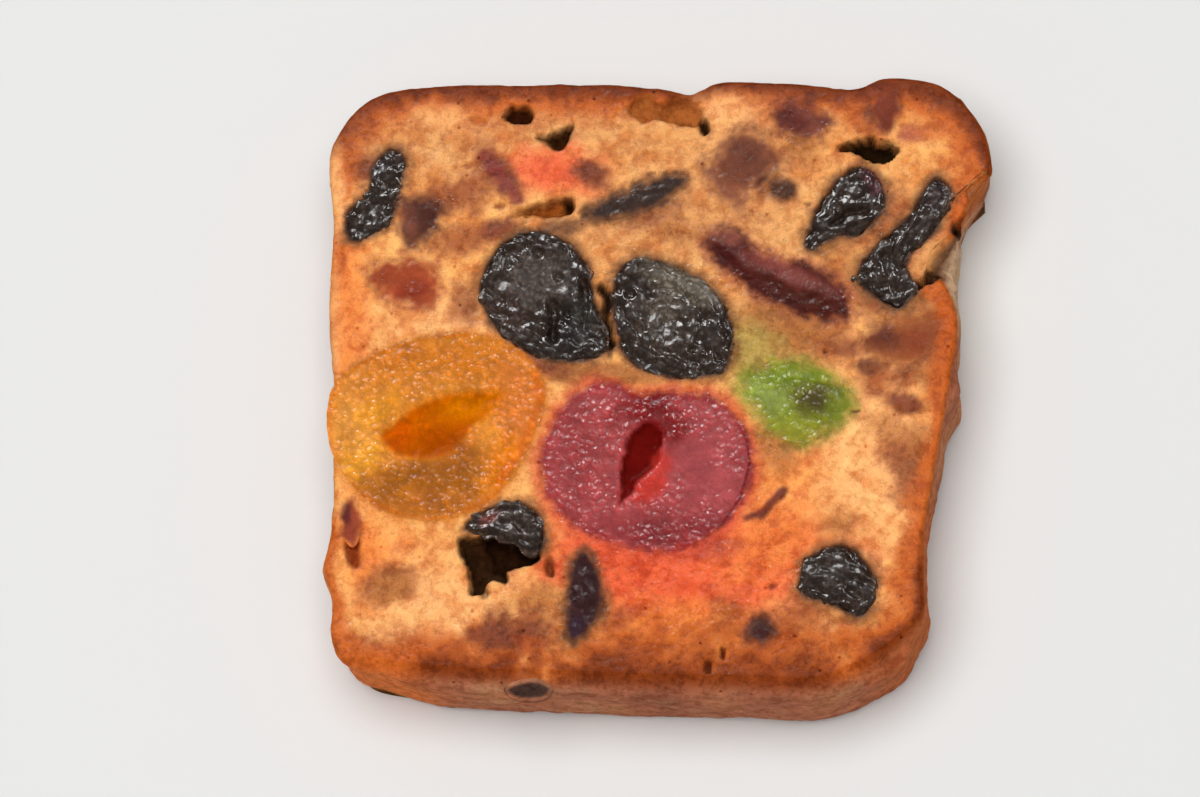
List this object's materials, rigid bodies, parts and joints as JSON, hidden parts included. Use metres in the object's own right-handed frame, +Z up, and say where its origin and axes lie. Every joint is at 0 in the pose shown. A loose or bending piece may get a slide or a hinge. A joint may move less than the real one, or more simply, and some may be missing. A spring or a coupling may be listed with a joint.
{
  "type": "fruit cake slice",
  "caption": "Slice of light fruit cake with candied cherries, raisins and dried fruit in a browned crust, lying flat on one cut face.",
  "frame": {"origin": "middle of the underside, which is one of the two cut faces", "axes": "+Z up from the lower cut face to the upper one, +Y towards the side that was the top of the loaf, +X to the right as seen from above with +Y away"},
  "size_m": [0.0714, 0.0679, 0.0165],
  "materials": {
    "crumb": "moist golden sponge crumb with fine pores, browned to a darker crust round the four sides",
    "raisin_skin": "wrinkled black-brown raisin, moist and glossy on its ridges",
    "red_cherry_flesh": "translucent dark pink candied cherry with a wet, grainy cut face",
    "yellow_cherry_flesh": "translucent amber candied cherry with a wet, grainy cut face",
    "green_cherry_flesh": "translucent leaf-green candied cherry with a darker heart",
    "dried_fruit": "soft maroon-brown dried fruit, moist, with a darker skin edge"
  },
  "bodies": {
    "root": {"cake": "crumb", "red_cherry": "red_cherry_flesh", "red_cherry_under": "red_cherry_flesh", "yellow_cherry": "yellow_cherry_flesh", "green_cherry": "green_cherry_flesh", "green_cherry_under": "green_cherry_flesh", "raisin_centre_left": "raisin_skin", "raisin_centre_right": "raisin_skin", "raisin_torn": "raisin_skin", "raisin_slim": "raisin_skin", "raisin_lower_right": "raisin_skin", "raisin_folded": "raisin_skin", "raisin_long": "raisin_skin", "raisin_high": "raisin_skin", "raisin_left": "raisin_skin", "raisin_small": "raisin_skin", "raisin_crust": "raisin_skin", "raisin_under_left": "raisin_skin", "raisin_under_right": "raisin_skin", "raisin_under_base": "raisin_skin", "raisin_under_slim": "raisin_skin", "date_long": "dried_fruit", "date_right": "dried_fruit", "date_corner": "dried_fruit", "plum_top": "dried_fruit", "plum_square": "dried_fruit", "plum_under": "dried_fruit", "fig_left": "dried_fruit", "papaya_left": "dried_fruit", "papaya_edge": "dried_fruit"}
  },
  "joints": []
}
